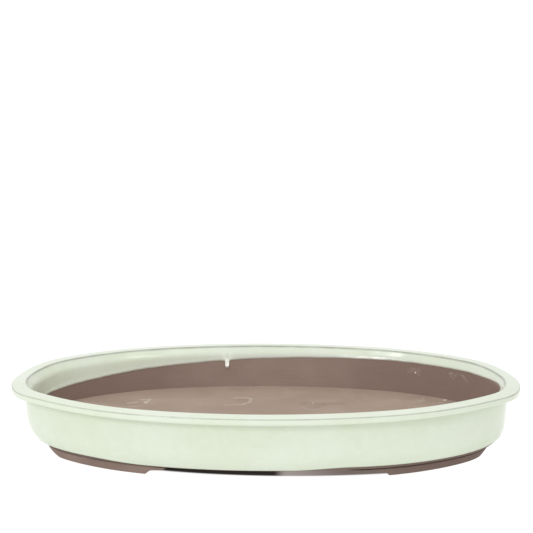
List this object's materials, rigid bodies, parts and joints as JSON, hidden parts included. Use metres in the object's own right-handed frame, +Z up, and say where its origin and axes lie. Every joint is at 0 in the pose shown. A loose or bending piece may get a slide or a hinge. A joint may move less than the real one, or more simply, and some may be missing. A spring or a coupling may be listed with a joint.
{
  "type": "bonsai pot",
  "caption": "Large shallow oval bonsai tray with an outturned glazed rim, bare clay inside, drain holes in the floor and feet luted under the base.",
  "frame": {"origin": "middle of the pot in plan, at the level of the surface it stands on (bottom of the feet)", "axes": "+X along the pot's long axis to the right seen from the front, +Y to the back, +Z up"},
  "size_m": [0.5998, 0.3598, 0.0853],
  "materials": {
    "clay": "unglazed, matt, fine grained",
    "glaze": "gloss, pale green-cream"
  },
  "bodies": {
    "root": {"floor_slab": "clay", "side_wall": "clay", "rim_lip": "clay", "foot_front_left": "clay", "foot_front_right": "clay", "foot_back_left": "clay", "foot_back_right": "clay", "glaze_coat": "glaze"}
  },
  "joints": []
}
